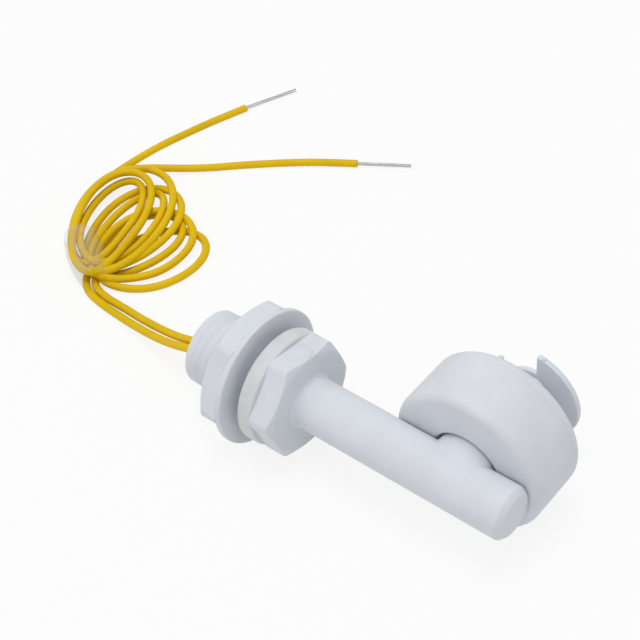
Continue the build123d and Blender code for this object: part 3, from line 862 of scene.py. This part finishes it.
def float_back():
    """Cover of the float, with the web round the journal, its sleeve and the gate's mark."""
    front, back = COVER_LOW.y, PLUG_HIGH.y - 1.8
    rows = [(FLOAT_HALF, front, FLOAT_HALF, front), (0.03, front, 0.03, front), (0, front + 0.04, 0, front + 0.04)]
    rows.append((0, back - COVER_ROUND - 0.02, 0, back - COVER_ROUND - 0.02))
    for t in steps_between(0, pi / 2, 8):
        rows.append((COVER_ROUND * (1 - cos(t)), back - COVER_ROUND * (1 - sin(t)),
                     0.2 * (1 - cos(t)), back - 0.2 * (1 - sin(t))))
    rows.append((FLOAT_HALF, back, FLOAT_HALF, back))
    plate = c_solid("float_plate", rows)
    web = turned("float_web", round_corners([
        (front, BORE_R), (front, WEB_R), (back, WEB_R), (back, SLEEVE_R), (SLEEVE_END_Y, SLEEVE_R),
        (SLEEVE_END_Y, BORE_R)], 0.25), "Y", (PIVOT_X, 0.0))
    gate_r = SHELL_RADIUS - COVER_ROUND / 2
    gate = turned("float_gate", gate_section(back - COVER_ROUND, back + 0.2, GATE_R), "Y",
                  (PIVOT_X + gate_r * cos(radians(FLOAT_GATE_DEG)), gate_r * sin(radians(FLOAT_GATE_DEG))), 20)
    return join_meshes("float_back", [plate, web, gate])


SHELL_RADIUS = FLOAT_MID_R + FLOAT_HALF


def gate_section(start, end, radius):
    """Half-section of the small nub that is left where the plastic ran in."""
    return [(start, 0.0), (start, radius), (end - 0.15, radius), (end, radius - 0.15), (end, 0.0)]


def magnet_cap():
    """Round cap over the magnet's pocket, with the pin behind it."""
    top = PLUG_HIGH.y - 1.8 + 0.2
    section = [(PLUG_LOW.y, 0.0), (PLUG_LOW.y, PLUG_R), (top - 0.15, PLUG_R), (top, PLUG_R - 0.15), (top, 0.0)]
    return turned("magnet_cap", section, "Y", (PLUG_X, PLUG_Z), 64)


class FLOATSWITCH_OT_float(Operator):
    """Float: shell, back cover and the cap over the magnet"""
    bl_idname = "floatswitch.float"
    bl_label = "Float"

    def execute(self, context):
        settle(float_front(), "white_polypropylene", "float", "float_shell")
        settle(float_back(), "white_polypropylene", "float", "float_back_cover")
        settle(magnet_cap(), "white_polypropylene", "float", "magnet_plug")
        return {"FINISHED"}


# Retainer

def retainer_outline():
    """Half disc with its boss, seen along the pivot."""
    half_cut = sqrt(DISC_R ** 2 - DISC_CUT_X ** 2)
    boss_cut = sqrt(DISC_BOSS_R ** 2 - DISC_CUT_X ** 2)
    wide = radians(90) - DISC_CUT_X / DISC_R
    outline = [(DISC_R * cos(t), DISC_R * sin(t)) for t in steps_between(-wide, wide, 60)]
    outline.append((DISC_CUT_X, (half_cut + boss_cut) / 2))
    start = pi / 2 - DISC_CUT_X / DISC_BOSS_R
    outline += [(DISC_BOSS_R * cos(t), DISC_BOSS_R * sin(t)) for t in steps_between(start, 2 * pi - start, 30)]
    outline.append((DISC_CUT_X, -(half_cut + boss_cut) / 2))
    return outline


def retainer_disc():
    """Thin half disc that keeps the float on, with its spigot and the gate's mark."""
    low, high = DISC_HIGH.y - DISC_THICK, DISC_HIGH.y
    work = bmesh.new()
    verts = [work.verts.new(Vector((PIVOT_X + x, low, z)) * MM) for x, z in retainer_outline()]
    face = work.faces.new(verts)
    grown = bmesh.ops.extrude_face_region(work, geom=[face])["geom"]
    bmesh.ops.translate(work, verts=[g for g in grown if isinstance(g, bmesh.types.BMVert)], vec=(0, (high - low) * MM, 0))
    bmesh.ops.recalc_face_normals(work, faces=work.faces)
    rims = [e for e in work.edges if abs(e.verts[0].co.y - e.verts[1].co.y) < 1e-7]
    bmesh.ops.bevel(work, geom=rims, offset=0.14 * MM, segments=3, profile=0.5, affect="EDGES", clamp_overlap=True)
    mesh = bpy.data.meshes.new("retainer_plate")
    work.to_mesh(mesh)
    work.free()
    mesh.shade_smooth()
    mesh.set_sharp_from_angle(angle=radians(40))
    plate = new_object("retainer_plate", mesh)
    spigot = turned("retainer_spigot", round_corners([(DISC_LOW.y, 0), (DISC_LOW.y, 1.48), (low + 0.2, 1.48), (low + 0.2, 0)], 0.2),
                    "Y", (PIVOT_X, 0.0), 32)
    collar = turned("retainer_collar", round_corners([
        (low + 0.5, 0), (low + 0.5, DISC_COLLAR_R), (high + 0.4, DISC_COLLAR_R), (high + 0.4, 0)], 0.3),
        "Y", (PIVOT_X, 0.0), 64)
    at = radians(DISC_GATE_DEG)
    gate = turned("retainer_gate", gate_section(low + 0.2, high - 0.2, DISC_GATE_R), "Y",
                  (PIVOT_X + DISC_R * cos(at), DISC_R * sin(at)), 20)
    return join_meshes("retainer_disc", [plate, collar, spigot, gate])


class FLOATSWITCH_OT_retainer(Operator):
    """Half disc that keeps the float on its journal"""
    bl_idname = "floatswitch.retainer"
    bl_label = "Retainer"

    def execute(self, context):
        settle(retainer_disc(), "white_polypropylene", "switch_body", "pivot_retainer")
        return {"FINISHED"}


class FLOATSWITCH_OT_inside(Operator):
    """Reed switch, magnet, crimps, sleeves, inner leads and resin, which keep their solids"""
    bl_idname = "floatswitch.inside"
    bl_label = "Inside"

    def execute(self, context):
        record_slots = {part["node"]: part["material_slot"] for part in frame["record"]["subparts"]}
        for name, node in frame["nodes"].items():
            if node.hide_render:
                continue
            node.data.materials.clear()
            node.data.materials.append(material_for(record_slots[name]))
        return {"FINISHED"}


# Leads and coil

def on_turn(name, angle):
    """Plan point of a turn at an angle from its far end."""
    x, y, long_half, short_half, direction, narrowing = TURNS[name]
    along = Vector((cos(radians(direction)), sin(radians(direction))))
    across = Vector((-along.y, along.x))
    wide = short_half * sin(angle) * (1 + narrowing * cos(angle))
    grow = 1 / cos(pi / POINTS_PER_TURN)
    return Vector((x, y)) + (along * long_half * cos(angle) + across * wide) * grow


def turn_points(before, name, following, share):
    """Plan points of one turn from the tie and back, led over to its neighbours at the tie."""
    points = []
    for k in range(0 if before else FIRST_POINT, round(POINTS_PER_TURN * share)):
        angle = pi - 2 * pi * k / POINTS_PER_TURN
        place = on_turn(name, angle)
        late = k - (POINTS_PER_TURN - len(LEAVE))
        if following and late >= 0:
            place = place.lerp(on_turn(following, angle), LEAVE[late])
        if before and k < len(ARRIVE):
            place = place.lerp(on_turn(before, angle), ARRIVE[k])
        points.append(place)
    return points


def curve_samples(points, per_span=6):
    """Points along the smooth curve that a row of control points gives."""
    samples = []
    for a, b, c in zip(points, points[1:], points[2:]):
        start, end = (a + b) / 2, (b + c) / 2
        for k in range(per_span):
            t = k / per_span
            samples.append(start * (1 - t) ** 2 + b * 2 * t * (1 - t) + end * t ** 2)
    return samples


def rest_on(plan, laid, diameter):
    """Heights at which the control points of a strand rest on what was laid before it."""
    needed = [LIE_Z] * len(plan)
    for i, (a, b, c) in enumerate(zip(plan, plan[1:], plan[2:])):
        for place in curve_samples([a, b, c]):
            for other in laid:
                gap = hypot(other.x - place.x, other.y - place.y)
                if gap < diameter:
                    needed[i + 1] = max(needed[i + 1], other.z + sqrt(diameter ** 2 - gap ** 2))
    needed[0], needed[-1] = needed[1], needed[-2]
    return eased([max(needed[max(0, i - 1):i + 2]) for i in range(len(needed))])


def lifted(plan, heights):
    """Points of a strand at its heights, each moved so that it keeps its place in the picture."""
    return [(place + RISE_SHIFT * (z - SEEN_Z)).to_3d() + Vector((0, 0, z)) for place, z in zip(plan, heights)]


def eased(heights):
    return [(a + 2 * b + c) / 4 for a, b, c in zip(heights[:1] + heights, heights, heights[1:] + heights[-1:])]


def coil_routes(diameter):
    """Control points of both leads through the coil, laid turn by turn from the floor up."""
    plans, heights, laid = {}, {}, []
    for lead, step in LAYERS:
        names = (None, *TURNS_OF_LEAD[lead], None)
        before, name, following = names[step:step + 3]
        plan = turn_points(before, name, following, 1.0 if following else SHARE_OF_LAST[lead])
        if following:
            after = (on_turn(following, pi) + on_turn(name, pi)) / 2
        else:
            after = plan[-1] * 2 - plan[-2]
        longer = [plan[0] * 2 - plan[1]] + plan + [after]
        rise = [LIE_Z] * len(longer)
        for _ in range(SETTLE_ROUNDS):
            rise = rest_on(lifted(longer, rise), laid, diameter * SETTLED)
        plans[lead, step], heights[lead, step] = plan, rise[1:-1]
        laid += curve_samples(lifted(longer, rise), 5)
    routes = {}
    for lead, names in TURNS_OF_LEAD.items():
        steps = range(len(names))
        rise = eased(eased(sum((heights[lead, k] for k in steps), [])))
        routes[lead] = lifted(sum((plans[lead, k] for k in steps), []), rise)
    return routes


def lead_curve(name, points):
    """A round lead on one smooth spline through its control points in millimetres."""
    curve = bpy.data.curves.new(name, "CURVE")
    curve.dimensions = "3D"
    curve.bevel_depth = settings().wire_diameter / 2
    curve.bevel_resolution = 5
    curve.resolution_u = 8
    curve.use_fill_caps = True
    spline = curve.splines.new("NURBS")
    spline.points.add(len(points) - 1)
    for point, place in zip(spline.points, points):
        point.co = (*(Vector(place) * MM), 1.0)
    spline.order_u = 3
    spline.use_endpoint_u = True
    return new_object(name, curve)


def bare_end(name, start, end):
    """Twisted strands from a lead's cut to its tip."""
    run = (Vector(end) - Vector(start)) * MM
    scene = settings()
    mesh = run_tree(name, strand_tree(), {
        "Length": run.length, "Radius": scene.strand_diameter / 2, "Strand Radius": scene.strand_diameter * 0.16,
        "Turns": 3.5, "Count": scene.strand_count, "Material": material_for("tinned_copper")})
    mesh.transform(Matrix.Translation(Vector(start) * MM) @ run.to_track_quat("Z", "Y").to_matrix().to_4x4())
    return new_object(name, mesh)


class FLOATSWITCH_OT_leads(Operator):
    """Both leads with their coil and bare ends"""
    bl_idname = "floatswitch.leads"
    bl_label = "Leads"

    def execute(self, context):
        diameter = settings().wire_diameter
        coil = coil_routes(diameter / MM)
        plans = (
            ("a", EXIT_A, LEAD_A, TAIL_A, STRANDS_A_END, LENGTH_A, ("wire_a_lead", "wire_a_tail", "wire_coil")),
            ("b", EXIT_B, LEAD_B, TAIL_B, STRANDS_B_END, LENGTH_B, ("wire_b_lead", "wire_b_tail")))
        for key, start, lead, tail, tip, length, nodes in plans:
            wire = lead_curve("lead_" + key, [start] + lead + coil[key] + tail)
            settle(wire, "yellow_pvc", "switch_body", *nodes)
            strands = bare_end("bare_strands_" + key, tail[-1], tip)
            settle(strands, "tinned_copper", "switch_body", "strands_" + key)
        return {"FINISHED"}


LENGTH_A = 0.40
LENGTH_B = 0.47


class FLOATSWITCH_OT_film(Operator):
    """Clear film strip round the bundle of turns"""
    bl_idname = "floatswitch.film"
    bl_label = "Film tie"

    def execute(self, context):
        rings = []
        for i, (x, y, half) in enumerate(FILM_PATH):
            before, after = FILM_PATH[max(0, i - 1)], FILM_PATH[min(len(FILM_PATH) - 1, i + 1)]
            run = Vector((after[0] - before[0], after[1] - before[1])).normalized()
            side = Vector((-run.y, run.x))
            ring = []
            for k in range(48):
                t = 2 * pi * k / 48
                wide, tall = half + 0.15 * sin(3 * t + i), FILM_TALL + 0.15 * cos(2 * t + 0.7 * i)
                out, up = wide * cos(t), tall * sin(t)
                ring.append((x + side.x * out, y + side.y * out, max(FLOOR_Z + 0.05, FLOOR_Z + FILM_TALL + up)))
            rings.append(ring)
        points, faces = stack_rings(rings)
        strip = mesh_object("film_strip", points, faces, 80.0)
        solid = strip.modifiers.new("thickness", "SOLIDIFY")
        solid.thickness = 0.08 * MM
        settle(strip, "clear_film", "switch_body", "coil_band")
        return {"FINISHED"}


# Stage

def floor_material():
    """Pale floor that shows as white to the camera where nothing shades it."""
    material, nodes, links, shader = new_material("stage_floor")
    grain = add_noise(nodes, links, 60.0)
    vary_colour(nodes, links, shader, settings().floor_colour, grain, 0.004)
    shader.inputs["Roughness"].default_value = 0.9
    glow = nodes.new("ShaderNodeEmission")
    glow.inputs["Strength"].default_value = 1.0
    mix = nodes.new("ShaderNodeMixShader")
    ray = nodes.new("ShaderNodeLightPath")
    mirrored = nodes.new("ShaderNodeMath")
    mirrored.operation = "MAXIMUM"
    links.new(ray.outputs["Is Glossy Ray"], mirrored.inputs[0])
    links.new(ray.outputs["Is Transmission Ray"], mirrored.inputs[1])
    seen = nodes.new("ShaderNodeMath")
    seen.operation = "MAXIMUM"
    links.new(ray.outputs["Is Camera Ray"], seen.inputs[0])
    links.new(mirrored.outputs["Value"], seen.inputs[1])
    share = nodes.new("ShaderNodeMath")
    share.operation = "MULTIPLY"
    share.inputs[1].default_value = 0.85
    output = nodes["Material Output"]
    links.new(seen.outputs["Value"], share.inputs[0])
    links.new(share.outputs["Value"], mix.inputs["Fac"])
    links.new(shader.outputs["BSDF"], mix.inputs[1])
    links.new(glow.outputs["Emission"], mix.inputs[2])
    links.new(mix.outputs["Shader"], output.inputs["Surface"])
    return material


def area_lamp(name, place, target, size, power):
    lamp = bpy.data.lights.new(name, "AREA")
    lamp.shape = "DISK"
    lamp.size = size
    lamp.energy = power
    obj = bpy.data.objects.new(name, lamp)
    bpy.context.scene.collection.objects.link(obj)
    obj.location = place
    obj.rotation_euler = (Vector(target) - Vector(place)).to_track_quat("-Z", "Y").to_euler()


class FLOATSWITCH_OT_stage(Operator):
    """Floor, lamps, world and camera"""
    bl_idname = "floatswitch.stage"
    bl_label = "Stage"

    def execute(self, context):
        bpy.ops.mesh.primitive_plane_add(size=6.0, location=(0, 0, FLOOR_Z * MM))
        floor = context.object
        floor.name = "stage_floor"
        floor.data.materials.append(floor_material())
        middle = (0.0, 0.01, 0.0)
        area_lamp("key_lamp", (0.0, 0.0, 0.85), middle, 0.5, 2.75)
        area_lamp("fill_lamp", (-0.42, -0.42, 0.6), middle, 0.5, 0.6)
        world = bpy.data.worlds.new("soft_studio")
        world.use_nodes = True
        context.scene.world = world
        world.node_tree.nodes["Background"].inputs["Color"].default_value = (1, 1, 1, 1)
        world.node_tree.nodes["Background"].inputs["Strength"].default_value = 0.54
        context.scene.view_settings.view_transform = "Standard"
        camera = bpy.data.cameras.new("camera")
        camera.lens = 86.95
        camera.sensor_width = 36.0
        camera.clip_start = 0.01
        holder = bpy.data.objects.new("camera", camera)
        context.scene.collection.objects.link(holder)
        holder.location = (0.14309, -0.1426, 0.22561)
        holder.rotation_euler = (radians(44.139), radians(4.123), radians(38.822))
        context.scene.camera = holder
        return {"FINISHED"}


class FLOATSWITCH_PT_panel(Panel):
    bl_label = "Float Level Switch"
    bl_idname = "FLOATSWITCH_PT_panel"
    bl_space_type = "VIEW_3D"
    bl_region_type = "UI"
    bl_category = "Float Switch"

    def draw(self, context):
        for name in SwitchSettings.__annotations__:
            self.layout.prop(context.scene.float_switch, name)
        for operator in OPERATORS:
            self.layout.operator(operator.bl_idname)


OPERATORS = (
    FLOATSWITCH_OT_body, FLOATSWITCH_OT_nut, FLOATSWITCH_OT_gasket, FLOATSWITCH_OT_float,
    FLOATSWITCH_OT_retainer, FLOATSWITCH_OT_leads, FLOATSWITCH_OT_film, FLOATSWITCH_OT_inside,
    FLOATSWITCH_OT_stage)
CLASSES = (SwitchSettings, *OPERATORS, FLOATSWITCH_PT_panel)


def register():
    for cls in CLASSES:
        bpy.utils.register_class(cls)
    bpy.types.Scene.float_switch = PointerProperty(type=SwitchSettings)


def unregister():
    del bpy.types.Scene.float_switch
    for cls in reversed(CLASSES):
        bpy.utils.unregister_class(cls)


def main():
    register()
    bpy.ops.floatswitch.body()
    bpy.ops.floatswitch.nut()
    bpy.ops.floatswitch.gasket()
    bpy.ops.floatswitch.float()
    bpy.ops.floatswitch.retainer()
    bpy.ops.floatswitch.leads()
    bpy.ops.floatswitch.film()
    bpy.ops.floatswitch.inside()
    bpy.ops.floatswitch.stage()


if __name__ == "__main__":
    main()
